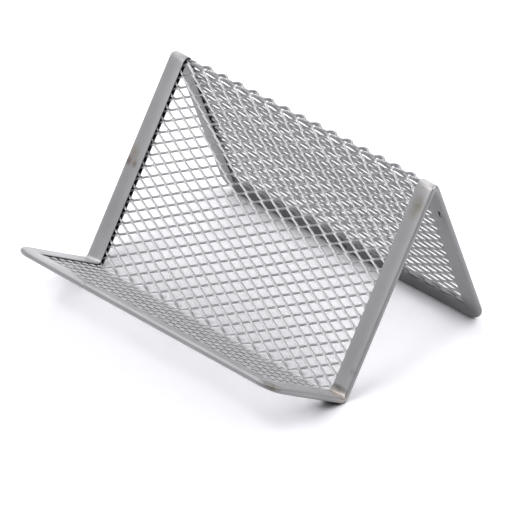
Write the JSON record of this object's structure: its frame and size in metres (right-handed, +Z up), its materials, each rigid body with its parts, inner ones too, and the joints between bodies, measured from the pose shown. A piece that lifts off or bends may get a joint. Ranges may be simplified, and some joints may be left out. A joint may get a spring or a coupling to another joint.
{
  "type": "business card stand",
  "caption": "Desk stand for business cards: silver painted expanded steel mesh folded into a front lip, a leaning back and a rear leg, with a steel channel rim round its edge.",
  "frame": {"origin": "on the desk, under the middle of the stand", "axes": "+X across the stand, to the right as seen from the lip; +Y from the lip to the rear leg; +Z up"},
  "size_m": [0.1008, 0.0842, 0.0538],
  "materials": {
    "rim_paint": "satin silver paint",
    "mesh_paint": "satin silver paint"
  },
  "bodies": {
    "root": {"left_side_rim": "rim_paint", "right_side_rim": "rim_paint", "front_lip_rim": "rim_paint", "left_foot_rim": "rim_paint", "right_foot_rim": "rim_paint", "lip_mesh": "mesh_paint", "back_mesh": "mesh_paint", "leg_mesh": "mesh_paint"}
  },
  "joints": []
}
